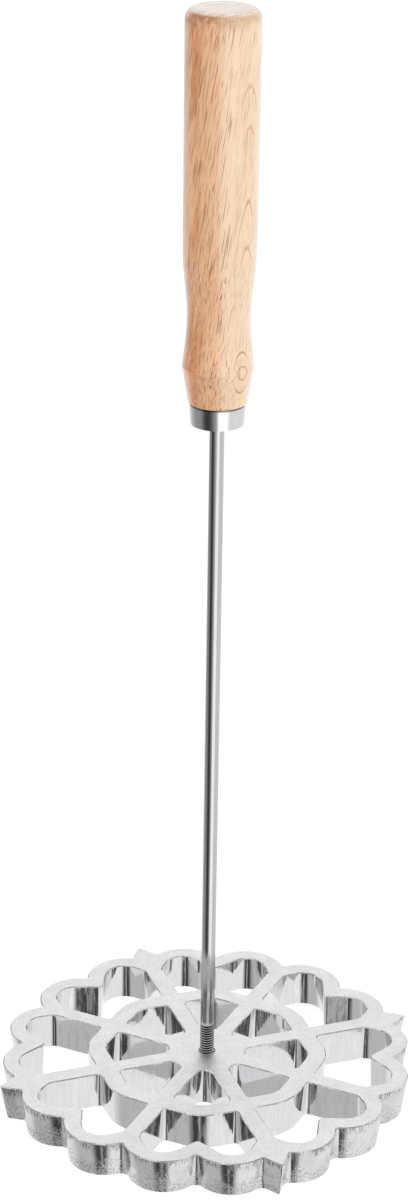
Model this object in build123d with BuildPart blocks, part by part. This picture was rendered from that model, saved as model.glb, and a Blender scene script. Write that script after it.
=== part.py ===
"""Rosette iron: a cast mould on a long steel rod, with a ferrule and a turned wooden handle.

Millimetres. The origin is the centre of the mould's underside, where the iron stands.
+Z runs up the rod, and the mould's four spikes point along +X, +Y, -X and -Y.
"""

from build123d import *

import math
import os

# Mould: a lobed rim and a ring on eight spokes, open from top to bottom between them
mould_height = 11.0
lobe_count = 16
lobe_centre_radius = 47.7
lobe_radius = 11.65
notch_fillet = 1.0
rim_draft = 8.0
top_edge_break = 0.3

spoke_count = 8
spoke_width = 5.2
hub_radius = 11.1
hole_draft = 3.0
hole_corner_fillet = 1.0

# The ring is an eight-sided band whose rounded corners stand between the spokes
ring_outer_flat = 33.1
ring_outer_fillet = 13.6
ring_inner_flat = 27.5
ring_inner_fillet = 6.0

# The cell between two spokes ends in two round lobes, with a bump between them
rim_wall = 4.75
cell_lobe_radius = 5.8
bump_setback = 1.8
bump_fillet = 1.5
cell_shoulder_fillet = 3.0

spike_count = 4
spike_reach = 15.35
spike_half_angle = 33.0
spike_tip_fillet_left = 0.5
spike_root_fillet = 0.8
vertex_search_width = 0.1

# Thread: rolled No. 8-32 on the rod's lower end, in a bore with a countersunk mouth
thread_major_radius = 4.166 / 2
thread_swell = 0.06
thread_pitch = 25.4 / 32
thread_length = 20.3
thread_above_mould = 9.9
groove_overcut = 0.05
thread_clearance = 0.05
bore_mouth_radius = 2.55
countersink_angle = 90

# Ferrule: a drawn steel cup on the handle's lower end
ferrule_bottom = 205.2
ferrule_height = 6.1
ferrule_bottom_radius = 7.2
ferrule_rim_radius = 7.6
ferrule_wall = 0.6
ferrule_edge_fillet = 0.8
ferrule_rim_fillet = 0.2

# Handle: a taper up from the ferrule, a bead, a flare, a waist, a shoulder and a turned grip
neck_radius = 7.95
taper_middle_radius = 8.75
taper_length = 10.0
bead_radius = 9.6
bead_fillet = 1.2
flare_radius = 8.85
flare_rise = 6.5
waist_radius = 8.45
waist_rise = 8.0
shoulder_radius = 9.2
shoulder_rise = 9.0
grip_low_radius = 9.75
grip_rise = 7.2
grip_top_radius = 9.9
grip_length = 64.3
handle_top_fillet = 3.0

# Hidden joint: the rod's upper end sits in a drilled bore, held by straight splines
rod_depth_in_handle = 46.0
bore_end_gap = 1.0
drill_point_angle = 118
rod_end_chamfer = 0.4
spline_count = 12
spline_length = 16.0
spline_height = 0.18
spline_half_width = 0.22

# Worked-out sizes
sector = 360 / spoke_count
spoke_half = spoke_width / 2
half_sector_sine = math.sin(math.radians(sector / 2))
wedge_apex_radius = spoke_half / half_sector_sine
wedge_tip_fillet = (hub_radius - wedge_apex_radius) / (1 / half_sector_sine - 1)
cell_lobe_centre_radius = lobe_centre_radius + lobe_radius - rim_wall - cell_lobe_radius
bump_radius = cell_lobe_centre_radius - bump_setback
spike_tip_radius = lobe_centre_radius + spike_reach
spike_tip_fillet = top_edge_break + spike_tip_fillet_left
spike_base = spike_reach * math.tan(math.radians(spike_half_angle))
parting_plane = Plane.XY.offset(mould_height - top_edge_break)

triangle_height = thread_pitch * math.sqrt(3) / 2
rod_radius = thread_major_radius - thread_swell
thread_minor_radius = thread_major_radius - triangle_height * 5 / 8
thread_depth = thread_major_radius - thread_minor_radius
thread_middle_radius = thread_major_radius - thread_depth / 2
thread_top = mould_height + thread_above_mould
thread_bottom = thread_top - thread_length
groove_half_mouth = thread_pitch * 7 / 16 + groove_overcut / math.sqrt(3)
groove_lead = thread_pitch / 2
groove_start = thread_bottom - groove_lead
bore_radius = thread_major_radius + thread_clearance

ferrule_floor = ferrule_bottom + ferrule_wall
ferrule_rim = ferrule_bottom + ferrule_height
taper_middle_height = ferrule_rim + taper_length / 2
bead_height = ferrule_rim + taper_length
flare_height = bead_height + flare_rise
waist_height = flare_height + waist_rise
shoulder_height = waist_height + shoulder_rise
grip_bottom = shoulder_height + grip_rise
handle_top = grip_bottom + grip_length
rod_top = ferrule_bottom + rod_depth_in_handle
spline_bottom = rod_top - rod_end_chamfer - spline_length
bore_end = rod_top + bore_end_gap
drill_point_height = rod_radius / math.tan(math.radians(drill_point_angle / 2))


def polar(radius, degrees):
    """Return the point at this radius and angle in the plane of the mould."""
    return (radius * math.cos(math.radians(degrees)), radius * math.sin(math.radians(degrees)))


def mirrored(point):
    """Return the point's mirror image across the middle of the first sector."""
    return polar(math.hypot(*point), sector - math.degrees(math.atan2(point[1], point[0])))


def tangent_heading(point, centre, radius, side):
    """Return the heading of the line from the point that touches the circle, on its right side for -1."""
    away = (centre[0] - point[0], centre[1] - point[1])
    return math.atan2(away[1], away[0]) + side * math.asin(radius / math.hypot(*away))


def meeting(first, first_heading, second, second_heading):
    """Return the point where two lines meet, each given by a point and a heading."""
    gap = (second[0] - first[0], second[1] - first[1])
    turn = math.sin(second_heading - first_heading)
    run = (gap[0] * math.sin(second_heading) - gap[1] * math.cos(second_heading)) / turn
    return (first[0] + run * math.cos(first_heading), first[1] + run * math.sin(first_heading))


def circle_crossing(start, heading, centre, radius):
    """Return the distance from the origin at which a line from the start first meets the circle."""
    along = (centre[0] - start[0]) * math.cos(heading) + (centre[1] - start[1]) * math.sin(heading)
    across = (centre[1] - start[1]) * math.cos(heading) - (centre[0] - start[0]) * math.sin(heading)
    run = along - math.sqrt(radius**2 - across**2)
    return math.hypot(start[0] + run * math.cos(heading), start[1] + run * math.sin(heading))


def at_radius(sketch, radius):
    """Return the sketch's vertices that stand this far from the rod's axis."""
    return [v for v in sketch.vertices() if abs(math.hypot(v.X, v.Y) - radius) < vertex_search_width]


os.makedirs("parts", exist_ok=True)

lobe_centre = polar(lobe_centre_radius, 180 / lobe_count)
cell_lobe_centre = polar(cell_lobe_centre_radius, 180 / lobe_count)
spike_tip = (spike_tip_radius, 0)
spike_slope = math.radians(180 - spike_half_angle)
spike_root_radius = circle_crossing(spike_tip, spike_slope, lobe_centre, lobe_radius)

# The rim's lobed outline, with a spike in every fourth notch
with BuildSketch(parting_plane) as rim_outline:
    Circle(lobe_centre_radius)
    with PolarLocations(lobe_centre_radius, lobe_count, start_angle=180 / lobe_count):
        Circle(lobe_radius)
    fillet(rim_outline.vertices(), notch_fillet)
    with PolarLocations(0, spike_count):
        Polygon(
            spike_tip,
            (lobe_centre_radius, spike_base),
            (lobe_centre_radius, -spike_base),
            align=None,
        )
    fillet(at_radius(rim_outline, spike_tip_radius), spike_tip_fillet)
    fillet(at_radius(rim_outline, spike_root_radius), spike_root_fillet)

# The corners of a cell in the first sector, whose far corner is rounded to the cell's lobe
wedge_apex = polar(wedge_apex_radius, sector / 2)
bump_apex = polar(bump_radius, sector / 2)
cell_shoulder = (cell_lobe_centre_radius, spoke_half)
shoulder_heading = tangent_heading(cell_shoulder, cell_lobe_centre, cell_lobe_radius, -1)
bump_heading = tangent_heading(bump_apex, cell_lobe_centre, cell_lobe_radius, 1)
far_corner = meeting(cell_shoulder, shoulder_heading, bump_apex, bump_heading)

ring_outer_corner = (ring_outer_flat, spoke_half)
ring_inner_corner = (ring_inner_flat, spoke_half)
ring_outer_peak = polar(ring_outer_flat / math.cos(math.radians(sector / 2)), sector / 2)
ring_inner_peak = polar(ring_inner_flat / math.cos(math.radians(sector / 2)), sector / 2)

# The cells between the ring and the rim
with BuildSketch(parting_plane) as rim_cells:
    with PolarLocations(0, spoke_count):
        Polygon(
            ring_outer_peak,
            ring_outer_corner,
            cell_shoulder,
            far_corner,
            bump_apex,
            mirrored(far_corner),
            mirrored(cell_shoulder),
            mirrored(ring_outer_corner),
            align=None,
        )
    fillet(at_radius(rim_cells, math.hypot(*far_corner)), cell_lobe_radius)
    fillet(at_radius(rim_cells, math.hypot(*cell_shoulder)), cell_shoulder_fillet)
    fillet(at_radius(rim_cells, bump_radius), bump_fillet)
    fillet(at_radius(rim_cells, math.hypot(*ring_outer_peak)), ring_outer_fillet)
    fillet(at_radius(rim_cells, math.hypot(*ring_outer_corner)), hole_corner_fillet)

# The wedges between the hub and the ring
with BuildSketch(parting_plane) as hub_wedges:
    with PolarLocations(0, spoke_count):
        Polygon(wedge_apex, ring_inner_corner, ring_inner_peak, mirrored(ring_inner_corner), align=None)
    fillet(at_radius(hub_wedges, wedge_apex_radius), wedge_tip_fillet)
    fillet(at_radius(hub_wedges, math.hypot(*ring_inner_peak)), ring_inner_fillet)
    fillet(at_radius(hub_wedges, math.hypot(*ring_inner_corner)), hole_corner_fillet)

# The mould: walls drafted down from the parting plane, and edges broken above it
with BuildPart() as mould:
    extrude(rim_outline.sketch, amount=top_edge_break - mould_height, taper=rim_draft)
    extrude(rim_outline.sketch, amount=top_edge_break, taper=45)
    for holes in (rim_cells, hub_wedges):
        extrude(holes.sketch, amount=top_edge_break - mould_height, taper=-hole_draft, mode=Mode.SUBTRACT)
        extrude(holes.sketch, amount=top_edge_break, taper=-45, mode=Mode.SUBTRACT)
    with Locations((0, 0, mould_height)):
        CounterSinkHole(bore_radius, bore_mouth_radius, counter_sink_angle=countersink_angle)
mould.part.label = "mould"

# The rod: a turned blank with the thread cut in its lower end and splines on its upper end
with BuildPart() as rod:
    with BuildSketch(Plane.XZ):
        with BuildLine():
            Polyline(
                (0, thread_bottom),
                (thread_minor_radius - rod_end_chamfer, thread_bottom),
                (thread_major_radius, thread_bottom + rod_end_chamfer + thread_depth),
                (thread_major_radius, thread_top),
                (rod_radius, thread_top + thread_depth),
                (rod_radius, rod_top - rod_end_chamfer),
                (rod_radius - rod_end_chamfer, rod_top),
                (0, rod_top),
                close=True,
            )
        make_face()
    revolve(axis=Axis.Z)
    with BuildLine() as groove_path:
        Helix(thread_pitch, thread_length - groove_lead, thread_middle_radius, center=(0, 0, groove_start))
    with BuildSketch(Plane(groove_path.line @ 0, x_dir=(1, 0, 0), z_dir=groove_path.line % 0)):
        with BuildLine():
            Polyline(
                (-thread_depth / 2, -thread_pitch / 8),
                (-thread_depth / 2, thread_pitch / 8),
                (thread_depth / 2 + groove_overcut, groove_half_mouth),
                (thread_depth / 2 + groove_overcut, -groove_half_mouth),
                close=True,
            )
        make_face()
    sweep(is_frenet=True, mode=Mode.SUBTRACT)
    with BuildSketch(Plane.XY.offset(spline_bottom)):
        with PolarLocations(0, spline_count):
            Polygon(
                (rod_radius + spline_height, 0),
                (rod_radius - spline_height, spline_half_width),
                (rod_radius - spline_height, -spline_half_width),
                align=None,
            )
    extrude(amount=spline_length)
rod.part.label = "rod"

# The ferrule: a tapered cup with the rod through its floor
with BuildPart() as ferrule:
    with BuildSketch(Plane.XZ) as cup_section:
        with BuildLine():
            Polyline(
                (rod_radius, ferrule_bottom),
                (ferrule_bottom_radius, ferrule_bottom),
                (ferrule_rim_radius, ferrule_rim),
                (ferrule_rim_radius - ferrule_wall, ferrule_rim),
                (ferrule_bottom_radius - ferrule_wall, ferrule_floor),
                (rod_radius, ferrule_floor),
                close=True,
            )
        make_face()
        outer_corners = cup_section.vertices().sort_by(Axis.X)
        fillet(outer_corners[-1], ferrule_rim_fillet)
        fillet(outer_corners[-2], ferrule_edge_fillet)
    revolve(axis=Axis.Z)
ferrule.part.label = "ferrule"

# The handle: one turned outline, with a tenon in the ferrule and a drilled bore for the rod
with BuildPart() as handle:
    with BuildSketch(Plane.XZ) as handle_section:
        with BuildLine():
            Polyline(
                (0, ferrule_floor),
                (ferrule_bottom_radius - ferrule_wall, ferrule_floor),
                (ferrule_rim_radius - ferrule_wall, ferrule_rim),
                (neck_radius, ferrule_rim),
            )
            ThreePointArc(
                (neck_radius, ferrule_rim),
                (taper_middle_radius, taper_middle_height),
                (bead_radius, bead_height),
            )
            Spline(
                (bead_radius, bead_height),
                (flare_radius, flare_height),
                (waist_radius, waist_height),
                (shoulder_radius, shoulder_height),
                (grip_low_radius, grip_bottom),
            )
            Polyline(
                (grip_low_radius, grip_bottom),
                (grip_top_radius, handle_top),
                (0, handle_top),
                (0, ferrule_floor),
            )
        make_face()
        corners = handle_section.vertices()
        fillet(corners.sort_by(Axis.X)[-1], handle_top_fillet)
        fillet(corners.filter_by_position(Axis.Y, bead_height, bead_height), bead_fillet)
    revolve(axis=Axis.Z)
    with BuildSketch(Plane.XZ):
        with BuildLine():
            Polyline(
                (0, ferrule_floor),
                (rod_radius, ferrule_floor),
                (rod_radius, bore_end),
                (0, bore_end + drill_point_height),
                close=True,
            )
        make_face()
    revolve(axis=Axis.Z, mode=Mode.SUBTRACT)
    add(rod.part, mode=Mode.SUBTRACT)
handle.part.label = "handle"

for piece in (mould, rod, ferrule, handle):
    export_step(piece.part, f"parts/{piece.part.label}.step")
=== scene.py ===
"""Rosette iron, dressed for looks on its CAD frame.

The cast mould, the threaded rod, the ferrule and the turned handle keep the frame's places and
sizes. This script gives them their finishes, a pale floor, soft studio light and the camera.
"""

import logging
import math
from dataclasses import dataclass
from enum import Enum
from typing import Any

import bpy
from mathutils import Matrix, Vector


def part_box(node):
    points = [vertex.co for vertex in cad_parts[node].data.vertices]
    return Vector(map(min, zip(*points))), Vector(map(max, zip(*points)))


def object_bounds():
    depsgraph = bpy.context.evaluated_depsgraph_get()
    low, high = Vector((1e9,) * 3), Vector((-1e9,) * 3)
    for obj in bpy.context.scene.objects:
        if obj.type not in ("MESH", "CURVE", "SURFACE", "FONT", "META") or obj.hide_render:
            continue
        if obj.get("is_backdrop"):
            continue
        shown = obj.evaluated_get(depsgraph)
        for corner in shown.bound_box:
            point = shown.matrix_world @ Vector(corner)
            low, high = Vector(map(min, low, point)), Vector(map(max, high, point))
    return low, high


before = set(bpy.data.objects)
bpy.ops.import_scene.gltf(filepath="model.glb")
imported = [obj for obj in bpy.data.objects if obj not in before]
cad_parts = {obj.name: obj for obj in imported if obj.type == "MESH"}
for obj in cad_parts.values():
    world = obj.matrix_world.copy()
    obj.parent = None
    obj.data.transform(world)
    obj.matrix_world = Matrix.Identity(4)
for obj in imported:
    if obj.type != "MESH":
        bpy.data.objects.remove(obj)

log = logging.getLogger("rosette_iron")

MM = 0.001

# Degrees round Z from the iron's front to the camera.
CAMERA_HEADING = -20.0

# The Mix node has several sockets of one name, so they are taken by their places.
MIX_FACTOR = 0
MIX_VALUES = (2, 3)
MIX_VALUE_OUT = 0
MIX_COLOURS = (6, 7)
MIX_COLOUR_OUT = 2

Colour = tuple[float, float, float]
Source = Any


class Node(str, Enum):
    """Shader node types that the finishes and the studio use."""

    COORDS = "ShaderNodeTexCoord"
    MAPPING = "ShaderNodeMapping"
    TURN = "ShaderNodeVectorRotate"
    NOISE = "ShaderNodeTexNoise"
    RANGE = "ShaderNodeMapRange"
    MIX = "ShaderNodeMix"
    MATH = "ShaderNodeMath"
    VECTOR_MATH = "ShaderNodeVectorMath"
    SEPARATE = "ShaderNodeSeparateXYZ"
    COMBINE = "ShaderNodeCombineXYZ"
    BUMP = "ShaderNodeBump"
    GROUP = "ShaderNodeGroup"
    PRINCIPLED = "ShaderNodeBsdfPrincipled"
    DIFFUSE = "ShaderNodeBsdfDiffuse"
    EMISSION = "ShaderNodeEmission"
    BACKGROUND = "ShaderNodeBackground"
    MIX_SHADER = "ShaderNodeMixShader"
    LIGHT_PATH = "ShaderNodeLightPath"
    FACING = "ShaderNodeLayerWeight"
    OUTPUT = "ShaderNodeOutputMaterial"
    WORLD_OUTPUT = "ShaderNodeOutputWorld"
    GROUP_INPUT = "NodeGroupInput"
    GROUP_OUTPUT = "NodeGroupOutput"


class Sum(str, Enum):
    """Operations on plain values."""

    ADD = "ADD"
    SUBTRACT = "SUBTRACT"
    MULTIPLY = "MULTIPLY"
    DIVIDE = "DIVIDE"
    MAXIMUM = "MAXIMUM"
    ABSOLUTE = "ABSOLUTE"
    FRACTION = "FRACT"
    WRAP = "WRAP"
    ARCTANGENT = "ARCTAN2"


class VectorSum(str, Enum):
    """Operations on vectors."""

    MULTIPLY = "MULTIPLY"
    DOT = "DOT_PRODUCT"
    LENGTH = "LENGTH"


@dataclass(frozen=True)
class Ramp:
    """A smooth change between two values, which holds its two results beyond them."""

    low: float
    high: float
    to_low: float = 0.0
    to_high: float = 1.0


@dataclass(frozen=True)
class Cells:
    """A noise pattern: its cells in each unit across Z and along it, and its finer detail."""

    across: float
    along: float
    detail: float = 2.0
    roughness: float = 0.5


@dataclass(frozen=True)
class Strokes:
    """Fine lines along Z: how many there are in a millimetre, and how long they are in it."""

    per_mm: float
    length: float


@dataclass(frozen=True)
class Tint:
    """A colour laid over another: how much of it shows at most, and the ramp that masks it."""

    colour: Colour
    share: float
    ramp: Ramp | None = None


def paint(code: str) -> Colour:
    """Return the linear colour of a colour code, by the usual curve of screens.

    Args:
        code: two hexadecimal digits each for red, green and blue.

    Returns:
        The linear red, green and blue.
    """
    parts = [int(code[at:at + 2], 16) / 255 for at in (0, 2, 4)]
    red, green, blue = (
        part / 12.92 if part <= 0.04045 else ((part + 0.055) / 1.055) ** 2.4 for part in parts
    )
    return (red, green, blue)


def rgba(colour: Source) -> Source:
    """Return a colour triple with a full alpha, and leave a socket as it is.

    Args:
        colour: a colour triple, or the socket of a colour.

    Returns:
        The colour with its alpha, or the same socket.
    """
    if isinstance(colour, bpy.types.NodeSocket):
        return colour
    return (*colour, 1.0)


def bearing_angle(degrees: float) -> float:
    """Return the angle round from X, in radians, of a bearing from the camera."""
    return math.radians(CAMERA_HEADING - 90 + degrees)


@dataclass
class Graph:
    """A node tree with short ways to add its nodes and join them."""

    tree: bpy.types.NodeTree

    def add(
        self, kind: Node, inputs: dict[str | int, Source] | None = None, **settings: Any
    ) -> bpy.types.Node:
        """Add a node, with its settings and what feeds its inputs.

        Args:
            kind: the node's type.
            inputs: socket name or index to a plain value, or to the socket that feeds it.
            **settings: attributes set on the node first.

        Returns:
            The new node.
        """
        node = self.tree.nodes.new(kind.value)
        for name, value in settings.items():
            setattr(node, name, value)
        for socket, value in (inputs or {}).items():
            if isinstance(value, bpy.types.NodeSocket):
                self.tree.links.new(value, node.inputs[socket])
            else:
                node.inputs[socket].default_value = value
        return node

    def noise(
        self, vector: Source, detail: float, roughness: float = 0.5, scale: Source = 1.0
    ) -> Source:
        """Return the value of a noise texture whose cells are about one unit of the vector."""
        inputs = {"Vector": vector, "Scale": scale, "Detail": detail, "Roughness": roughness}
        return self.add(Node.NOISE, inputs).outputs["Fac"]

    def stretch(self, vector: Source, across: float, along: float) -> Source:
        """Return the coordinates scaled across X and Y, and along Z."""
        inputs = {"Vector": vector, "Scale": (across, across, along)}
        return self.add(Node.MAPPING, inputs).outputs["Vector"]

    def cells(self, vector: Source, cells: Cells) -> Source:
        """Return the value of a noise pattern at the coordinates."""
        stretched = self.stretch(vector, cells.across, cells.along)
        return self.noise(stretched, cells.detail, cells.roughness)

    def ramp(self, value: Source, ramp: Ramp) -> Source:
        """Return a value taken through a ramp.

        Args:
            value: the value.
            ramp: the ramp.

        Returns:
            The socket of the result.
        """
        inputs = {"Value": value, "From Min": ramp.low, "From Max": ramp.high}
        ends = {"To Min": ramp.to_low, "To Max": ramp.to_high}
        node = self.add(Node.RANGE, inputs | ends, interpolation_type="SMOOTHSTEP")
        return node.outputs["Result"]

    def math(
        self, operation: Sum, first: Source, second: Source = 0.0, third: Source = 0.0
    ) -> Source:
        """Return the result of an operation on plain values."""
        inputs = {0: first, 1: second, 2: third}
        return self.add(Node.MATH, inputs, operation=operation.value).outputs["Value"]

    def times(self, *factors: Source) -> Source:
        """Return the product of the values.

        Args:
            *factors: the values, multiplied in this order.

        Returns:
            The socket of the product.
        """
        product = factors[0]
        for factor in factors[1:]:
            product = self.math(Sum.MULTIPLY, product, factor)
        return product

    def total(self, *terms: Source) -> Source:
        """Return the sum of the values.

        Args:
            *terms: the values, added in this order.

        Returns:
            The socket of the sum.
        """
        total = terms[0]
        for term in terms[1:]:
            total = self.math(Sum.ADD, total, term)
        return total

    def vector_math(
        self, operation: VectorSum, first: Source, second: Source = (0.0, 0.0, 0.0)
    ) -> Any:
        """Return the output sockets of an operation on vectors."""
        inputs = {0: first, 1: second}
        return self.add(Node.VECTOR_MATH, inputs, operation=operation.value).outputs

    def toward(self, vector: Source, angle: float) -> Source:
        """Return how far the vector reaches in a level direction, given in radians from X."""
        direction = (math.cos(angle), math.sin(angle), 0.0)
        return self.vector_math(VectorSum.DOT, vector, direction)["Value"]

    def length(self, vector: Source) -> Source:
        """Return the vector's length."""
        return self.vector_math(VectorSum.LENGTH, vector)["Value"]

    def radius(self, place: Source) -> Source:
        """Return how far a place is from the rod's axis."""
        return self.length(self.stretch(place, 1.0, 0.0))

    def upward(self, vector: Source) -> Source:
        """Return the vector's Z."""
        return self.add(Node.SEPARATE, {"Vector": vector}).outputs["Z"]

    def mix(self, factor: Source, first: Source, second: Source) -> Source:
        """Return two colours mixed by a factor."""
        inputs = {MIX_FACTOR: factor, MIX_COLOURS[0]: rgba(first), MIX_COLOURS[1]: rgba(second)}
        return self.add(Node.MIX, inputs, data_type="RGBA").outputs[MIX_COLOUR_OUT]

    def blend(self, factor: Source, first: Source, second: Source) -> Source:
        """Return two values mixed by a factor."""
        inputs = {MIX_FACTOR: factor, MIX_VALUES[0]: first, MIX_VALUES[1]: second}
        return self.add(Node.MIX, inputs, data_type="FLOAT").outputs[MIX_VALUE_OUT]

    def tint(self, colour: Source, value: Source, tint: Tint, *masks: Source) -> Source:
        """Return a colour with a tint over it.

        Args:
            colour: the colour below.
            value: what the tint's ramp reads, or its mask where it has no ramp.
            tint: the tint.
            *masks: what else holds the tint back.

        Returns:
            The socket of the new colour.
        """
        if tint.ramp is not None:
            value = self.ramp(value, tint.ramp)
        return self.mix(self.times(value, *masks, tint.share), colour, tint.colour)

    def relief(self, height: Source) -> Source:
        """Return the normal that a height map in millimetres gives."""
        inputs = {"Height": height, "Distance": MM, "Strength": 1.0}
        return self.add(Node.BUMP, inputs).outputs["Normal"]


@dataclass(frozen=True)
class Panel:
    """A soft-edged upright panel around the iron, which only its glossy surfaces mirror.

    Angles are in degrees. The bearing is from the camera, positive to its right, and holds at the
    pivot height. Above it the panel leans to the left by the lean for each unit that a ray rises.
    """

    bearing: float
    half_width: float
    soft_edge: float
    level: float
    lean: float = 0.0
    pivot: float = -0.292


@dataclass(frozen=True)
class Softbox:
    """A square lamp that faces the middle of the iron.

    The bearing is in degrees from the camera, positive to its right, and the elevation in degrees
    above the middle. The distance from the middle and the side are in metres, the power in watts.
    """

    name: str
    bearing: float
    elevation: float
    distance: float
    side: float
    power: float


@dataclass(frozen=True)
class StudioLook:
    """Where the photograph was taken from, and how the soft light stands around the iron.

    Lengths are in metres, angles in degrees, and the focal length and frame height in pixels.
    Glossy surfaces mirror the high panels, the low ones below the tier's angles, and the sky
    above the horizon.
    """

    frame_height: int = 1200
    focal_pixels: float = 3064.0
    stand_off: float = 0.7673
    height: float = 0.4849
    sideways: float = -0.0001
    pitch: float = 23.35
    yaw: float = -0.18
    roll: float = 0.87
    sensor: float = 36.0
    clip_start: float = 0.01
    world_level: float = 0.5
    sky_level: float = 0.97
    white: float = 1.0
    floor_size: float = 6.0
    paper: float = 0.9
    paper_glow: float = 1.12
    paper_glow_share: float = 0.8
    high_base: float = 1.0
    high_panels: tuple[Panel, ...] = (
        Panel(bearing=-85, half_width=30, soft_edge=70, level=0.38, lean=190),
        Panel(bearing=-72, half_width=6, soft_edge=30, level=0.06, lean=190),
        Panel(bearing=26, half_width=15, soft_edge=15, level=1.6),
    )
    low_base: float = 0.88
    low_panels: tuple[Panel, ...] = (
        Panel(bearing=-55, half_width=25, soft_edge=40, level=0.52),
        Panel(bearing=-9, half_width=11, soft_edge=20, level=0.05),
        Panel(bearing=-7, half_width=0.6, soft_edge=3, level=0.5),
    )
    tier_from: float = -35.0
    tier_to: float = -31.0
    horizon: Ramp = Ramp(-0.12, 0.12)
    softboxes: tuple[Softbox, ...] = (
        Softbox("key", bearing=55, elevation=35, distance=1.5, side=1.1, power=10),
        Softbox("fill", bearing=-70, elevation=30, distance=1.7, side=1.2, power=8.5),
        Softbox("back", bearing=170, elevation=55, distance=1.6, side=1.2, power=6),
    )


@dataclass
class Studio:
    """The pale floor, the world, the lamps and the camera."""

    look: StudioLook

    def build(self) -> None:
        """Make the floor, the world, the lamps and the camera."""
        self.make_floor()
        self.make_world()
        for softbox in self.look.softboxes:
            self.make_lamp(softbox)
        self.make_camera()

    def make_floor(self) -> None:
        """Lay a white floor that keeps a soft shadow and that polished metal doesn't mirror."""
        bpy.ops.object.select_all(action="DESELECT")
        bpy.ops.mesh.primitive_plane_add(size=self.look.floor_size)
        floor = bpy.context.active_object
        floor.name = "floor"
        material = bpy.data.materials.new("white_floor")
        material.use_nodes = True
        material.node_tree.nodes.clear()
        graph = Graph(material.node_tree)
        seen = self.seen(graph, graph.add(Node.LIGHT_PATH).outputs)
        paper = graph.add(Node.DIFFUSE, {"Color": rgba((self.look.paper,) * 3)})
        glow_inputs = {"Color": rgba((1, 1, 1)), "Strength": self.look.paper_glow}
        glow = graph.add(Node.EMISSION, glow_inputs)
        share = graph.times(seen, self.look.paper_glow_share)
        mixed = graph.add(Node.MIX_SHADER, {0: share, 1: paper.outputs[0], 2: glow.outputs[0]})
        graph.add(Node.OUTPUT, {"Surface": mixed.outputs[0]})
        floor.data.materials.append(material)
        floor.visible_glossy = False
        floor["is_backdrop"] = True

    @staticmethod
    def seen(graph: Graph, rays: Any) -> Source:
        """Return the mask of rays that the camera sees straight or through something clear."""
        return graph.math(Sum.MAXIMUM, rays["Is Camera Ray"], rays["Is Transmission Ray"])

    def tier(
        self, graph: Graph, angle: Source, rise: Source, base: float, panels: tuple[Panel, ...]
    ) -> Source:
        """Return how bright a ring of panels is at an angle round from the camera.

        Args:
            graph: the world's graph.
            angle: radians round from the camera.
            rise: how far a ray of unit length rises.
            base: brightness between the panels.
            panels: the panels, each one in front of those before it.

        Returns:
            The socket of the brightness.
        """
        level: Source = base
        for panel in panels:
            shift = graph.times(graph.total(rise, -panel.pivot), math.radians(panel.lean))
            off = graph.total(angle, shift, -math.radians(panel.bearing))
            off = graph.math(Sum.ABSOLUTE, graph.math(Sum.WRAP, off, math.pi, -math.pi))
            inner = math.radians(panel.half_width)
            edge = Ramp(inner, inner + math.radians(panel.soft_edge), 1.0, 0.0)
            level = graph.blend(graph.ramp(off, edge), level, panel.level)
        return level

    def make_world(self) -> None:
        """Give a white surround, with soft panels that only glossy surfaces mirror."""
        world = bpy.data.worlds.new("white_studio")
        world.use_nodes = True
        world.node_tree.nodes.clear()
        bpy.context.scene.world = world
        graph = Graph(world.node_tree)
        look = self.look
        direction = graph.add(Node.COORDS).outputs["Generated"]
        right = graph.toward(direction, bearing_angle(90))
        front = graph.toward(direction, bearing_angle(0))
        angle = graph.math(Sum.ARCTANGENT, right, front)
        rise = graph.upward(direction)
        high = self.tier(graph, angle, rise, look.high_base, look.high_panels)
        low = self.tier(graph, angle, rise, look.low_base, look.low_panels)
        rise_from, rise_to = (math.sin(math.radians(at)) for at in (look.tier_from, look.tier_to))
        below = graph.blend(graph.ramp(rise, Ramp(rise_from, rise_to)), low, high)
        mirrored = graph.blend(graph.ramp(rise, look.horizon), below, look.sky_level)
        rays = graph.add(Node.LIGHT_PATH).outputs
        soft = graph.blend(rays["Is Glossy Ray"], look.world_level, mirrored)
        strength = graph.blend(self.seen(graph, rays), soft, look.white)
        background = graph.add(Node.BACKGROUND, {"Strength": strength, "Color": rgba((1, 1, 1))})
        graph.add(Node.WORLD_OUTPUT, {"Surface": background.outputs[0]})

    def make_lamp(self, softbox: Softbox) -> None:
        """Hang a softbox so that it faces the middle of the iron.

        Args:
            softbox: the lamp's place, size and power.
        """
        data = bpy.data.lights.new(softbox.name, "AREA")
        data.shape = "SQUARE"
        data.size = softbox.side
        data.energy = softbox.power
        lamp = bpy.data.objects.new(softbox.name, data)
        bpy.context.scene.collection.objects.link(lamp)
        low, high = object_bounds()
        middle = (Vector(low) + Vector(high)) / 2
        turn = bearing_angle(softbox.bearing)
        tilt = math.radians(softbox.elevation)
        level = Vector((math.cos(turn), math.sin(turn), 0))
        away = level * math.cos(tilt) + Vector((0, 0, math.sin(tilt)))
        lamp.location = middle + away * softbox.distance
        lamp.rotation_euler = away.to_track_quat("Z", "Y").to_euler()
        lamp.visible_camera = False
        lamp.visible_glossy = False

    def make_camera(self) -> None:
        """Place the camera as it stood for the photograph."""
        look = self.look
        data = bpy.data.cameras.new("photo_camera")
        data.sensor_width = look.sensor
        data.lens = look.focal_pixels / look.frame_height * look.sensor
        data.clip_start = look.clip_start
        camera = bpy.data.objects.new("photo_camera", data)
        bpy.context.scene.collection.objects.link(camera)
        stand = Matrix.Rotation(math.radians(CAMERA_HEADING), 4, "Z")
        place = Matrix.Translation((look.sideways, -look.stand_off, look.height))
        yaw = Matrix.Rotation(math.radians(-look.yaw), 4, "Z")
        pitch = Matrix.Rotation(math.radians(90 - look.pitch), 4, "X")
        roll = Matrix.Rotation(math.radians(look.roll), 4, "Z")
        camera.matrix_world = stand @ place @ yaw @ pitch @ roll
        bpy.context.scene.camera = camera


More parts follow.
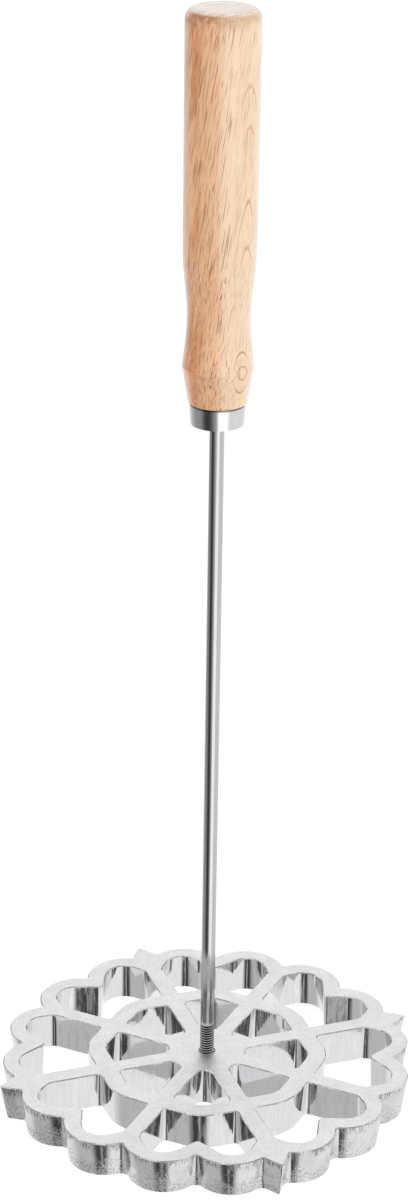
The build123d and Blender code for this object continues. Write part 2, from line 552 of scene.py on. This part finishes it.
class SurfaceGroups:
    """The effects that more than one finish uses, each one a node group that is built once."""

    LINES = Ramp(0.38, 0.66)
    CLOUDS = Ramp(0.3, 0.7)
    GRAINS_IN_PATCH = 7.0

    def __init__(self) -> None:
        """Build every shared group."""
        self.strokes = self.make_strokes()
        self.mottle = self.make_mottle()

    @staticmethod
    def start(name: str, inputs: dict[str, float], outputs: list[str]) -> tuple[Graph, Any, Any]:
        """Start a group that takes a vector and named sizes, and puts out named masks.

        Args:
            name: the group's name.
            inputs: each number input's name, with its usual value.
            outputs: each output mask's name.

        Returns:
            The group's graph, the sockets that it is given, and the sockets that it fills.
        """
        tree = bpy.data.node_groups.new(name, "ShaderNodeTree")
        tree.interface.new_socket("Vector", in_out="INPUT", socket_type="NodeSocketVector")
        for socket, value in inputs.items():
            made = tree.interface.new_socket(socket, in_out="INPUT", socket_type="NodeSocketFloat")
            made.default_value = value
        for socket in outputs:
            tree.interface.new_socket(socket, in_out="OUTPUT", socket_type="NodeSocketFloat")
        graph = Graph(tree)
        return graph, graph.add(Node.GROUP_INPUT).outputs, graph.add(Node.GROUP_OUTPUT).inputs

    def make_strokes(self) -> bpy.types.NodeTree:
        """Build fine strokes along Z, such as drawing, filing or polishing leaves on metal.

        Returns:
            The group's node tree.
        """
        sizes = {"Strokes per mm": 2.0, "Length mm": 6.0}
        graph, given, result = self.start("strokes_along_z", sizes, ["Strokes"])
        across = given["Strokes per mm"]
        along = graph.math(Sum.DIVIDE, 1.0, given["Length mm"])
        scale = graph.add(Node.COMBINE, {0: across, 1: across, 2: along}).outputs[0]
        scaled = graph.vector_math(VectorSum.MULTIPLY, given["Vector"], scale)["Vector"]
        lines = graph.noise(scaled, detail=2.0, roughness=0.6)
        graph.tree.links.new(graph.ramp(lines, self.LINES), result["Strokes"])
        return graph.tree

    def make_mottle(self) -> bpy.types.NodeTree:
        """Build soft cloudy patches with finer ones inside, such as a casting or old polish has.

        Returns:
            The group's node tree.
        """
        graph, given, result = self.start("cloudy_mottle", {"Patch mm": 4.0}, ["Patches", "Grain"])
        vector = given["Vector"]
        scale = graph.math(Sum.DIVIDE, 1.0, given["Patch mm"])
        patches = graph.noise(vector, detail=4.0, roughness=0.6, scale=scale)
        fine = graph.times(scale, self.GRAINS_IN_PATCH)
        grain = graph.noise(vector, detail=3.0, roughness=0.7, scale=fine)
        graph.tree.links.new(graph.ramp(patches, self.CLOUDS), result["Patches"])
        graph.tree.links.new(graph.ramp(grain, self.CLOUDS), result["Grain"])
        return graph.tree


@dataclass(frozen=True)
class Finish:
    """A material's name and the groups that its own graph may place."""

    groups: SurfaceGroups
    name: str

    def open(self) -> tuple[bpy.types.Material, Graph, Source, Source]:
        """Start the material.

        Returns:
            The material, its graph, the piece's own millimetres, and how far its face leans up.
        """
        material = bpy.data.materials.new(self.name)
        material.use_nodes = True
        material.node_tree.nodes.clear()
        graph = Graph(material.node_tree)
        coords = graph.add(Node.COORDS).outputs
        place = graph.stretch(coords["Object"], 1 / MM, 1 / MM)
        return material, graph, place, graph.upward(coords["Normal"])

    @staticmethod
    def close(graph: Graph, inputs: dict[str | int, Source]) -> None:
        """Put the Principled shader and the output at the graph's end."""
        shader = graph.add(Node.PRINCIPLED, inputs)
        graph.add(Node.OUTPUT, {"Surface": shader.outputs[0]})

    def strokes(self, graph: Graph, place: Source, strokes: Strokes) -> Source:
        """Place the shared strokes and return their mask."""
        sizes = {"Strokes per mm": strokes.per_mm, "Length mm": strokes.length}
        return self.place(graph, self.groups.strokes, {"Vector": place, **sizes})["Strokes"]

    def mottle(self, graph: Graph, place: Source, patch: float) -> Any:
        """Place the shared mottle and return its sockets."""
        return self.place(graph, self.groups.mottle, {"Vector": place, "Patch mm": patch})

    @staticmethod
    def place(graph: Graph, tree: bpy.types.NodeTree, inputs: dict[str, Source]) -> Any:
        """Place a shared group in the graph and return its output sockets."""
        return graph.add(Node.GROUP, inputs, node_tree=tree).outputs


@dataclass(frozen=True)
class CastMasks:
    """Where each kind of surface is on the casting, as sockets of its material's graph."""

    flat: Source
    outer: Source
    drawn: Source
    scored: Source
    speckle: Source


@dataclass(frozen=True, kw_only=True)
class CastAluminium(Finish):
    """Aluminium, satin above and below, bright on its inner walls and filed on its outer ones.

    Heights and depths are in millimetres. The lean ramps read the Z of a face's normal: a flat
    face has 1, an edge less, and the outer walls' draft turns them a little downwards.
    """

    name: str = "cast_aluminium"
    top_height: float

    flat_lean: Ramp = Ramp(0.84, 0.94)
    edge_lean_from: Ramp = Ramp(0.25, 0.5)
    edge_lean_to: Ramp = Ramp(0.94, 0.84)
    outer_lean: Ramp = Ramp(-0.085, -0.11)
    not_flat: Ramp = Ramp(1.0, 0.0)

    cloud_patch: float = 4.0
    fleck_patch: float = 1.6
    drawn: Strokes = Strokes(1.7, 9.0)
    drafts: Strokes = Strokes(0.5, 14.0)
    filed: Strokes = Strokes(2.3, 4.5)
    filed_lines: Ramp = Ramp(0.3, 0.7)
    ripple: Cells = Cells(0.42, 0.05, detail=3.0)
    patina: Cells = Cells(0.09, 0.09)

    filed_band: float = 4.0
    filed_ragged: float = 2.5
    filed_over: float = 1.0
    speckle_ragged: float = 6.0
    speckle_height: Ramp = Ramp(11.0, 4.0)
    speckle_grain: Ramp = Ramp(0.45, 0.85)
    edge_dark_fleck_share: float = 0.6
    edge_dark_cloud_share: float = 0.4
    edge_dark_patches: Ramp = Ramp(0.25, 0.6)

    wall_colour: Colour = (0.86, 0.86, 0.87)
    drawn_tint: Tint = Tint((0.56, 0.56, 0.57), 0.13)
    wall_patina: Tint = Tint((0.42, 0.42, 0.43), 0.25, Ramp(0.4, 0.62))
    speckle_tint: Tint = Tint((0.16, 0.16, 0.17), 0.5)
    scored_tint: Tint = Tint((0.12, 0.12, 0.13), 0.7)
    face_dull: Colour = (0.78, 0.78, 0.79)
    face_pale: Colour = (0.88, 0.88, 0.89)
    face_glint: Tint = Tint((0.95, 0.95, 0.95), 0.6, Ramp(0.2, 0.8))
    face_patina: Tint = Tint((0.60, 0.60, 0.61), 0.1, Ramp(0.42, 0.62))
    face_grain: Tint = Tint((0.62, 0.62, 0.63), 0.3, Ramp(0.35, 0.8))
    edge_dark_tint: Tint = Tint((0.12, 0.12, 0.13), 0.75)

    inner_rough: Ramp = Ramp(0.6, 1.0, 0.07, 0.2)
    outer_rough: Ramp = Ramp(0.0, 1.0, 0.12, 0.34)
    face_rough: Ramp = Ramp(0.0, 1.0, 0.36, 0.48)

    rolled_band: float = 6.0
    rolled_depth: float = 0.42
    ripple_height: Ramp = Ramp(0.0, 1.0, 0.035, 0.03)
    drawn_height: float = 0.004
    speckle_depth: float = 0.03
    scored_depth: float = 0.01
    fleck_height: float = 0.02

    def build(self) -> bpy.types.Material:
        """Build the material.

        Returns:
            The new material.
        """
        material, graph, place, lean = self.open()
        height = graph.upward(place)
        cloud = self.mottle(graph, place, self.cloud_patch)
        fleck = self.mottle(graph, place, self.fleck_patch)
        masks = self.masks(graph, place, height, lean, cloud)
        colour = self.colour(graph, place, masks, cloud, fleck)
        colour = graph.tint(colour, self.dark_edges(graph, lean, cloud, fleck), self.edge_dark_tint)

        drafts = self.strokes(graph, place, self.drafts)
        inner_rough = graph.ramp(drafts, self.inner_rough)
        rubbed = graph.math(Sum.MAXIMUM, masks.speckle, masks.scored)
        outer_rough = graph.ramp(rubbed, self.outer_rough)
        wall_rough = graph.blend(masks.outer, inner_rough, outer_rough)
        rough = graph.blend(masks.flat, wall_rough, graph.ramp(cloud["Grain"], self.face_rough))

        walls = self.wall_relief(graph, place, height, masks)
        bumps = graph.blend(masks.flat, walls, graph.times(fleck["Grain"], self.fleck_height))
        shader = {"Base Color": colour, "Metallic": 1.0, "Roughness": rough}
        self.close(graph, {**shader, "Normal": graph.relief(bumps)})
        return material

    def masks(
        self, graph: Graph, place: Source, height: Source, lean: Source, cloud: Any
    ) -> CastMasks:
        """Return where the casting is flat, outside, drawn, scored by a file and speckled.

        Args:
            graph: the material's graph.
            place: the piece's own millimetres.
            height: the place's Z.
            lean: how far the face leans up.
            cloud: the coarser mottle's sockets.

        Returns:
            The masks.
        """
        flat = graph.ramp(graph.math(Sum.ABSOLUTE, lean), self.flat_lean)
        outer = graph.times(graph.ramp(lean, self.outer_lean), graph.ramp(flat, self.not_flat))
        filed = graph.ramp(self.strokes(graph, place, self.filed), self.filed_lines)
        ragged = graph.total(height, graph.times(cloud["Patches"], self.filed_ragged))
        filed_from = self.top_height - self.filed_band + self.filed_ragged
        under_edge = graph.ramp(ragged, Ramp(filed_from, self.top_height + self.filed_over))
        uneven = graph.total(height, graph.times(cloud["Patches"], self.speckle_ragged))
        low = graph.ramp(uneven, self.speckle_height)
        return CastMasks(
            flat=flat,
            outer=outer,
            drawn=self.strokes(graph, place, self.drawn),
            scored=graph.times(filed, under_edge, outer),
            speckle=graph.times(graph.ramp(cloud["Grain"], self.speckle_grain), low, outer),
        )

    def dark_edges(self, graph: Graph, lean: Source, cloud: Any, fleck: Any) -> Source:
        """Return where the broken edges are darkened, in patches.

        Args:
            graph: the material's graph.
            lean: how far the face leans up.
            cloud: the coarser mottle's sockets.
            fleck: the finer mottle's sockets.

        Returns:
            The mask of the darkened edges.
        """
        edge_from = graph.ramp(lean, self.edge_lean_from)
        edge = graph.times(edge_from, graph.ramp(lean, self.edge_lean_to))
        fine = graph.times(fleck["Grain"], self.edge_dark_fleck_share)
        worn = graph.total(fine, graph.times(cloud["Patches"], self.edge_dark_cloud_share))
        return graph.times(graph.ramp(worn, self.edge_dark_patches), edge)

    def colour(
        self, graph: Graph, place: Source, masks: CastMasks, cloud: Any, fleck: Any
    ) -> Source:
        """Return the colour of the walls and the flat faces.

        Args:
            graph: the material's graph.
            place: the piece's own millimetres.
            masks: where each kind of surface is.
            cloud: the coarser mottle's sockets.
            fleck: the finer mottle's sockets.

        Returns:
            The socket of the colour.
        """
        patina = graph.cells(place, self.patina)
        wall = graph.tint(self.wall_colour, masks.drawn, self.drawn_tint)
        wall = graph.tint(wall, patina, self.wall_patina, masks.outer)
        wall = graph.tint(wall, masks.speckle, self.speckle_tint)
        wall = graph.tint(wall, masks.scored, self.scored_tint)
        face = graph.mix(cloud["Patches"], self.face_dull, self.face_pale)
        face = graph.tint(face, fleck["Grain"], self.face_glint)
        face = graph.tint(face, patina, self.face_patina)
        face = graph.tint(face, cloud["Grain"], self.face_grain)
        return graph.mix(masks.flat, wall, face)

    def wall_relief(
        self, graph: Graph, place: Source, height: Source, masks: CastMasks
    ) -> Source:
        """Return how high the walls stand: their waves, their rolled outer side and their wear.

        Args:
            graph: the material's graph.
            place: the piece's own millimetres.
            height: the place's Z.
            masks: where each kind of surface is.

        Returns:
            The socket of the height in millimetres.
        """
        band = Ramp(self.top_height - self.rolled_band, self.top_height + self.rolled_band)
        # The ramp is halfway at the top, so twice the depth comes to one depth there.
        rolled = graph.times(graph.ramp(height, band), masks.outer, -2.0 * self.rolled_depth)
        ripple = graph.cells(place, self.ripple)
        ripple = graph.times(ripple, graph.ramp(masks.outer, self.ripple_height))
        waves = graph.total(ripple, graph.times(masks.drawn, self.drawn_height))
        speckle = graph.times(masks.speckle, -self.speckle_depth)
        rub = graph.total(speckle, graph.times(masks.scored, -self.scored_depth))
        return graph.total(waves, rolled, graph.times(rub, masks.outer))


@dataclass(frozen=True)
class DrawnSteel(Finish):
    """Bright steel with faint lines drawn along it, and dirt where something gathers it.

    Lengths are in millimetres. A thread's groove darkens from its first radius to its second, as
    painted shade in the recess, and the rod is oily up to the thread's top. Handling has dulled
    the steel between two heights, and painted shade darkens the steel toward the top of a rim, for
    the shadow of what overhangs it. What a piece doesn't have is None.
    """

    name: str = "drawn_steel"
    tone: float = 0.66
    roughness: float = 0.07
    groove_radii: tuple[float, float] | None = None
    groove_top: float = 0.0
    dulled: tuple[float, float] | None = None
    rim_height: float | None = None

    lines: Strokes = Strokes(4.0, 30.0)
    line_share: float = 0.6
    line_height: float = 0.003
    blue_cast: float = 1.01
    line_tone: float = 0.86
    line_blue: float = 0.87
    cloud_patch: float = 6.0
    cloudy_rough: float = 1.5

    scratches: Strokes = Strokes(1.1, 22.0)
    scratch_lines: Ramp = Ramp(0.3, 0.7)
    scratch_height: float = 0.008
    scratch_tint: Tint = Tint((0.08, 0.08, 0.08), 0.75)
    dulled_start: float = 0.5
    dulled_fade: float = 8.0

    oil_colour: Colour = (0.1, 0.1, 0.1)
    oil_grain: Ramp = Ramp(0.0, 1.0, 0.05, 0.25)
    oil_fade: float = 1.0
    groove_side: Ramp = Ramp(0.97, 0.9)
    groove_painted_shade_tint: Tint = Tint((0.02, 0.02, 0.02), 0.9)

    rim_shade_band: tuple[float, float] = (0.9, 0.4)
    rim_painted_shade_tint: Tint = Tint((0.08, 0.08, 0.08), 0.9)

    def build(self) -> bpy.types.Material:
        """Build the material.

        Returns:
            The new material.
        """
        material, graph, place, lean = self.open()
        height = graph.upward(place)
        lines = self.strokes(graph, place, self.lines)
        cloud = self.mottle(graph, place, self.cloud_patch)
        bright = (self.tone, self.tone, self.tone * self.blue_cast)
        dull = (self.tone * self.line_tone,) * 2 + (self.tone * self.line_blue,)
        colour = graph.mix(graph.times(lines, self.line_share), bright, dull)
        relief = graph.times(lines, self.line_height)
        if self.dulled is not None:
            colour, relief = self.dull(graph, place, height, colour, relief)
        if self.groove_radii is not None:
            oiled = graph.ramp(height, Ramp(self.groove_top, self.groove_top - self.oil_fade))
            oil = graph.times(oiled, graph.ramp(cloud["Grain"], self.oil_grain))
            colour = graph.mix(oil, colour, self.oil_colour)
            # Painted shade: the thread's groove darkens toward its root.
            groove = graph.ramp(graph.radius(place), Ramp(*self.groove_radii))
            side = graph.ramp(graph.math(Sum.ABSOLUTE, lean), self.groove_side)
            colour = graph.tint(colour, groove, self.groove_painted_shade_tint, side)
        if self.rim_height is not None:
            # Painted shade: the steel darkens toward the rim's top, for the shadow of what
            # overhangs it.
            start, full = (self.rim_height - below for below in self.rim_shade_band)
            colour = graph.tint(colour, graph.ramp(height, Ramp(start, full)), self.rim_painted_shade_tint)
        cloudy = Ramp(0.0, 1.0, self.roughness, self.roughness * self.cloudy_rough)
        shader = {"Base Color": colour, "Metallic": 1.0}
        shader["Roughness"] = graph.ramp(cloud["Patches"], cloudy)
        self.close(graph, {**shader, "Normal": graph.relief(relief)})
        return material

    def dull(
        self, graph: Graph, place: Source, height: Source, colour: Source, relief: Source
    ) -> tuple[Source, Source]:
        """Scratch the steel dull between the two heights.

        Args:
            graph: the material's graph.
            place: the piece's own millimetres.
            height: the place's Z.
            colour: the bright steel's colour.
            relief: the bright steel's height map.

        Returns:
            The new colour and the new height map.
        """
        low, high = self.dulled
        start = graph.ramp(height, Ramp(low - self.dulled_start, low + self.dulled_start))
        dulled = graph.times(start, graph.ramp(height, Ramp(high, high - self.dulled_fade)))
        scratches = graph.ramp(self.strokes(graph, place, self.scratches), self.scratch_lines)
        colour = graph.tint(colour, dulled, self.scratch_tint, scratches)
        return colour, graph.total(relief, graph.times(scratches, dulled, self.scratch_height))


@dataclass(frozen=True)
class Spot:
    """Where a point of the wood lies, as sockets of its material's graph.

    The spiral is the place turned with the grain's twist. Depth is how far the place lies towards
    the pale side, and facing is that as a share of its distance from the axis.
    """

    place: Source
    spiral: Source
    height: Source
    depth: Source
    facing: Source
    lean: Source
    wander: Source
    latewood: Source


@dataclass(frozen=True, kw_only=True)
class LacqueredBeech(Finish):
    """Beech turned along its grain: leaning flecks, ruddy streaks and thin lines on a pale side.

    Bearings are in degrees from the camera, positive to its right, other angles in degrees, the
    twist in radians for each millimetre, and lengths in millimetres.
    """

    name: str = "lacquered_beech"
    top_height: float
    pale_bearing: float = 45.5
    twist_per_mm: float = -0.016

    # Growth lines, and the stretches without them: middle height and half length.
    ring_width: float = 0.55
    ring_slope: float = 0.053
    ring_wander: float = 1.15
    wander: Cells = Cells(0.08, 0.03, detail=1.0)
    latewood_from: Ramp = Ramp(0.84, 0.94)
    latewood_to: Ramp = Ramp(1.0, 0.97)
    figure_facing: Ramp = Ramp(0.92, 0.975, 0.0, 0.65)
    figure_patches: Ramp = Ramp(0.25, 0.45)
    figure_colour: Colour = paint("b8743f")
    plain_stretches: tuple[tuple[float, float], ...] = ((313.0, 9.0), (276.5, 4.5), (230.5, 18.5))
    plain_fade: float = 3.0

    # The line that closes on itself by the bead, and the split one round it.
    eye_bearing: float = 43.0
    eye_height: float = 221.5
    eye_share: float = 0.7
    eye_side: Ramp = Ramp(0.0, 1.0)
    closed_oval: tuple[float, float, float] = (1.55, 1.8, 0.15)
    split_oval: tuple[float, float, float] = (2.6, 5.6, 0.08)
    split_apart: Ramp = Ramp(3.2, 4.6)
    oval_core: float = 0.3

    # The wood's own colours.
    pale_depth: Ramp = Ramp(4.4, 8.6)
    plain_colour: Colour = paint("f5be8e")
    pale_colour: Colour = paint("f9dbb8")
    streaks: Cells = Cells(0.8, 0.035, detail=4.0, roughness=0.65)
    streak_tint: Tint = Tint(paint("f0cba8"), 0.3, Ramp(0.35, 0.65))
    blush: Cells = Cells(0.28, 0.05)
    ruddy_depth: Ramp = Ramp(5.5, -2.0)
    ruddy_tint: Tint = Tint(paint("d48148"), 0.75, Ramp(0.46, 0.62))
    warm_below: float = 236.0
    warm_fade: float = 14.0
    warm_depth: Ramp = Ramp(4.0, -1.0)
    warm_streaks: Ramp = Ramp(0.35, 0.6)
    warm_tint: Tint = Tint(paint("d07a40"), 0.75)
    coarseness: Ramp = Ramp(0.0, 1.0, 0.62, 0.22)
    fibres: Cells = Cells(3.2, 0.16, detail=3.0, roughness=0.65)
    fibre_lines: Ramp = Ramp(0.45, 0.66)
    fibre_colour: Colour = paint("bc7849")
    pores: Cells = Cells(5.0, 0.5)
    pore_tint: Tint = Tint(paint("f6d9bd"), 0.5, Ramp(0.5, 0.7))

    # Short dark flecks, which crowd together in places.
    flecks: Cells = Cells(3.2, 0.15, detail=0.0)
    crowd: Cells = Cells(0.3, 0.06, detail=1.0)
    fleck_threshold: Ramp = Ramp(0.3, 0.7, 0.69, 0.6)
    fleck_edge: Ramp = Ramp(0.0, 0.06)
    fleck_facing: Ramp = Ramp(0.97, 0.8, 0.3, 0.62)
    fleck_colour: Colour = paint("96501f")

    # Dark wear round the rounded top edge.
    smudge: Cells = Cells(0.55, 0.06, detail=3.0, roughness=0.7)
    crown_ragged: float = 9.0
    crown_band: float = 3.5
    crown_lean: Ramp = Ramp(0.93, 0.7)
    crown_facing: Ramp = Ramp(0.9, 0.2, 0.35, 0.95)
    crown_colour: Colour = paint("a2683a")

    # Painted sheen: the outline is mixed toward a pale colour by the view's facing, in place of
    # the lacquer's reflection at grazing angles. It reads the view, so it turns with the camera.
    painted_sheen_blend: float = 0.5
    painted_sheen_tint: Tint = Tint(paint("f8e4d4"), 0.5, Ramp(0.42, 0.8))

    # The sawn end.
    sawn_turn: float = 35.0
    sawn_scale: tuple[float, float, float] = (0.3, 2.4, 0.2)
    sawn_detail: float = 3.0
    sawn_lines: Ramp = Ramp(0.38, 0.62)
    sawn_dark: Colour = paint("cfb6a2")
    sawn_pale: Colour = paint("f0e2d6")
    sawn_ring_tint: Tint = Tint(paint("b08c72"), 0.4)
    end_lean: Ramp = Ramp(0.7, 0.95)

    # Relief and lacquer.
    rough: Ramp = Ramp(0.2, 0.8, 0.3, 0.5)
    fibre_height: float = 0.04
    pore_height: float = 0.03
    fleck_depth: float = 0.01
    coat: float = 1.0
    coat_roughness: float = 0.13
    coat_ior: float = 1.5
    sheen: float = 0.35
    sheen_roughness: float = 0.3

    def build(self) -> bpy.types.Material:
        """Build the material.

        Returns:
            The new material.
        """
        material, graph, place, lean = self.open()
        spot = self.locate(graph, place, lean)
        fibres = graph.cells(spot.spiral, self.fibres)
        pores = graph.cells(spot.spiral, self.pores)
        fleck = self.fleck(graph, spot)

        side = self.ground(graph, spot, fibres, pores)
        side = graph.mix(self.figure(graph, spot), side, self.figure_colour)
        fleck_share = graph.times(fleck, graph.ramp(spot.facing, self.fleck_facing))
        side = graph.mix(fleck_share, side, self.fleck_colour)
        side = graph.mix(self.crown(graph, spot), side, self.crown_colour)
        # Painted sheen: the base colour turns pale where the surface faces away from the view.
        outline = graph.add(Node.FACING, {"Blend": self.painted_sheen_blend}).outputs["Facing"]
        side = graph.tint(side, outline, self.painted_sheen_tint)
        end = graph.ramp(lean, self.end_lean)
        colour = graph.mix(end, side, self.sawn_end(graph, spot))

        grain = graph.times(fibres, self.fibre_height)
        grain = graph.total(grain, graph.times(pores, self.pore_height))
        relief = graph.total(grain, graph.times(fleck, -self.fleck_depth))
        surface = {"Base Color": colour, "Roughness": graph.ramp(fibres, self.rough)}
        lacquer = {
            "Coat Weight": self.coat,
            "Coat Roughness": self.coat_roughness,
            "Coat IOR": self.coat_ior,
            "Sheen Weight": self.sheen,
            "Sheen Roughness": self.sheen_roughness,
        }
        self.close(graph, {**surface, "Normal": graph.relief(relief), **lacquer})
        return material

    def locate(self, graph: Graph, place: Source, lean: Source) -> Spot:
        """Return where a point lies on the handle and in its growth rings.

        Args:
            graph: the material's graph.
            place: the piece's own millimetres.
            lean: how far the face leans up.

        Returns:
            The sockets that say where the point lies.
        """
        height = graph.upward(place)
        twist = {"Vector": place, "Angle": graph.times(height, self.twist_per_mm)}
        spiral = graph.add(Node.TURN, twist, rotation_type="Z_AXIS").outputs["Vector"]
        depth = graph.toward(place, bearing_angle(self.pale_bearing))
        facing = graph.math(Sum.DIVIDE, depth, graph.radius(place))
        wander = graph.cells(place, self.wander)
        sloped = graph.times(height, -self.ring_slope)
        rings = graph.total(depth, sloped, graph.times(wander, self.ring_wander))
        ring = graph.math(Sum.FRACTION, graph.math(Sum.DIVIDE, rings, self.ring_width))
        starts = graph.ramp(ring, self.latewood_from)
        latewood = graph.times(starts, graph.ramp(ring, self.latewood_to))
        return Spot(place, spiral, height, depth, facing, lean, wander, latewood)

    def ground(self, graph: Graph, spot: Spot, fibres: Source, pores: Source) -> Source:
        """Return the wood's colour under its growth lines and flecks.

        Args:
            graph: the material's graph.
            spot: where the point lies.
            fibres: the pattern of the fibres.
            pores: the pattern of the pores.

        Returns:
            The socket of the colour.
        """
        streaks = graph.cells(spot.spiral, self.streaks)
        blush = graph.cells(spot.spiral, self.blush)
        pale = graph.ramp(spot.depth, self.pale_depth)
        ground = graph.mix(pale, self.plain_colour, self.pale_colour)
        ground = graph.tint(ground, streaks, self.streak_tint)
        away = graph.ramp(spot.depth, self.ruddy_depth)
        ground = graph.tint(ground, blush, self.ruddy_tint, away)
        lower = graph.ramp(spot.height, Ramp(self.warm_below + self.warm_fade, self.warm_below))
        warm = graph.times(lower, graph.ramp(spot.depth, self.warm_depth))
        warm_streaks = graph.ramp(streaks, self.warm_streaks)
        ground = graph.tint(ground, warm, self.warm_tint, warm_streaks)
        coarse = graph.ramp(pale, self.coarseness)
        fibrous = graph.times(graph.ramp(fibres, self.fibre_lines), coarse)
        ground = graph.mix(fibrous, ground, self.fibre_colour)
        return graph.tint(ground, pores, self.pore_tint, coarse)

    def figure(self, graph: Graph, spot: Spot) -> Source:
        """Return where the growth lines show on the pale side.

        Args:
            graph: the material's graph.
            spot: where the point lies.

        Returns:
            The mask of the lines.
        """
        turned = graph.ramp(spot.facing, self.figure_facing)
        patches = graph.ramp(spot.wander, self.figure_patches)
        figure = graph.times(spot.latewood, turned, patches)
        for middle, half in self.plain_stretches:
            off = graph.math(Sum.ABSOLUTE, graph.total(spot.height, -middle))
            figure = graph.times(figure, graph.ramp(off, Ramp(half, half + self.plain_fade)))
        return graph.math(Sum.MAXIMUM, figure, self.eye(graph, spot))

    def fleck(self, graph: Graph, spot: Spot) -> Source:
        """Return where the short dark flecks are.

        Args:
            graph: the material's graph.
            spot: where the point lies.

        Returns:
            The mask of the flecks.
        """
        flecks = graph.cells(spot.spiral, self.flecks)
        threshold = graph.ramp(graph.cells(spot.spiral, self.crowd), self.fleck_threshold)
        return graph.ramp(graph.math(Sum.SUBTRACT, flecks, threshold), self.fleck_edge)

    def crown(self, graph: Graph, spot: Spot) -> Source:
        """Return where the rounded top edge is worn dark.

        Args:
            graph: the material's graph.
            spot: where the point lies.

        Returns:
            The mask of the wear.
        """
        smudge = graph.cells(spot.place, self.smudge)
        ragged = graph.total(spot.height, graph.times(smudge, self.crown_ragged))
        band = graph.ramp(ragged, Ramp(self.top_height, self.top_height + self.crown_band))
        crown = graph.times(band, graph.ramp(spot.lean, self.crown_lean))
        return graph.times(crown, graph.ramp(spot.facing, self.crown_facing))

    def sawn_end(self, graph: Graph, spot: Spot) -> Source:
        """Return the colour of the sawn top.

        Args:
            graph: the material's graph.
            spot: where the point lies.

        Returns:
            The socket of the colour.
        """
        turn = (0.0, 0.0, math.radians(self.sawn_turn))
        sawn = {"Vector": spot.place, "Rotation": turn, "Scale": self.sawn_scale}
        lines = graph.noise(graph.add(Node.MAPPING, sawn).outputs["Vector"], self.sawn_detail)
        end = graph.mix(graph.ramp(lines, self.sawn_lines), self.sawn_dark, self.sawn_pale)
        return graph.tint(end, spot.latewood, self.sawn_ring_tint)

    def eye(self, graph: Graph, spot: Spot) -> Source:
        """Return a growth line that closes on itself, with the next one above and below it.

        Args:
            graph: the material's graph.
            spot: where the point lies.

        Returns:
            The mask of the lines.
        """
        turn = bearing_angle(self.eye_bearing)
        sideways = (-math.sin(turn), math.cos(turn), 0.0)
        across = graph.vector_math(VectorSum.DOT, spot.place, sideways)["Value"]
        near = graph.ramp(graph.toward(spot.place, turn), self.eye_side)
        along = graph.total(spot.height, -self.eye_height)
        closed = self.oval(graph, across, along, self.closed_oval)
        apart = graph.ramp(graph.math(Sum.ABSOLUTE, along), self.split_apart)
        split = graph.times(self.oval(graph, across, along, self.split_oval), apart)
        return graph.times(graph.math(Sum.MAXIMUM, closed, split), near, self.eye_share)

    def oval(
        self, graph: Graph, across: Source, along: Source, oval: tuple[float, float, float]
    ) -> Source:
        """Return the mask of an oval's outline.

        Args:
            graph: the material's graph.
            across: millimetres from the oval's middle, across the grain.
            along: millimetres from the oval's middle, along the grain.
            oval: its half width, its half height, and its line's half width as a share of them.

        Returns:
            The mask of the outline.
        """
        half_width, half_height, line = oval
        sides = {0: graph.times(across, 1 / half_width), 1: graph.times(along, 1 / half_height)}
        reach = graph.length(graph.add(Node.COMBINE, sides).outputs[0])
        off = graph.math(Sum.ABSOLUTE, graph.total(reach, -1.0))
        return graph.ramp(off, Ramp(line, line * self.oval_core))


@dataclass
class Piece:
    """A CAD node that keeps its shape and gets a finish."""

    groups: SurfaceGroups
    node: str

    def finish(self) -> Finish:
        """Return the piece's finish."""
        raise NotImplementedError

    def dress(self) -> str:
        """Give the node its finish in place of the one it came with.

        Returns:
            The finish's name.
        """
        finish = self.finish()
        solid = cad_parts[self.node]
        solid.data.materials.clear()
        solid.data.materials.append(finish.build())
        return finish.name


@dataclass
class Mould(Piece):
    """The cast mould, with its top's height in millimetres."""

    node: str = "mould"
    top_height: float = 11.0

    def finish(self) -> Finish:
        """Return cast aluminium that is filed below the mould's top."""
        return CastAluminium(self.groups, top_height=self.top_height)


@dataclass
class Rod(Piece):
    """The threaded rod: its thread's top and radii and where it is dulled to, in millimetres."""

    node: str = "rod"
    thread_top: float = 20.9
    crest_radius: float = 2.07
    groove_radius: float = 1.9
    dulled_to: float = 38.0

    def finish(self) -> Finish:
        """Choose drawn steel, oily in its thread and dulled above it.

        Returns:
            The finish.
        """
        radii = (self.crest_radius, self.groove_radius)
        dulled = (self.thread_top, self.dulled_to)
        return DrawnSteel(
            self.groups, groove_radii=radii, groove_top=self.thread_top, dulled=dulled
        )


@dataclass
class Ferrule(Piece):
    """The steel cup round the handle's lower end."""

    node: str = "ferrule"
    tone: float = 0.68
    roughness: float = 0.06

    def finish(self) -> Finish:
        """Return bright steel darkened toward its rim's top by painted shade from the overhanging
        handle.
        """
        return DrawnSteel(
            self.groups,
            name="bright_ferrule_steel",
            tone=self.tone,
            roughness=self.roughness,
            rim_height=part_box("ferrule")[1][2] / MM,
        )


@dataclass
class Handle(Piece):
    """The turned handle, with its top's height in millimetres."""

    node: str = "handle"
    top_height: float = 316.3

    def finish(self) -> Finish:
        """Return lacquered beech that is worn at the handle's top edge."""
        return LacqueredBeech(self.groups, top_height=self.top_height)


def main() -> None:
    """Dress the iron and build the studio."""
    logging.basicConfig(level=logging.INFO, format="%(message)s")
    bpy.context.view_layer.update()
    bpy.context.scene.view_settings.view_transform = "Standard"
    groups = SurfaceGroups()
    for piece in (Mould(groups), Rod(groups), Ferrule(groups), Handle(groups)):
        log.info("dressed %s in %s", piece.node, piece.dress())
    Studio(StudioLook()).build()
    log.info("built the floor, the world, the lamps and the camera")


if __name__ == "__main__":
    main()
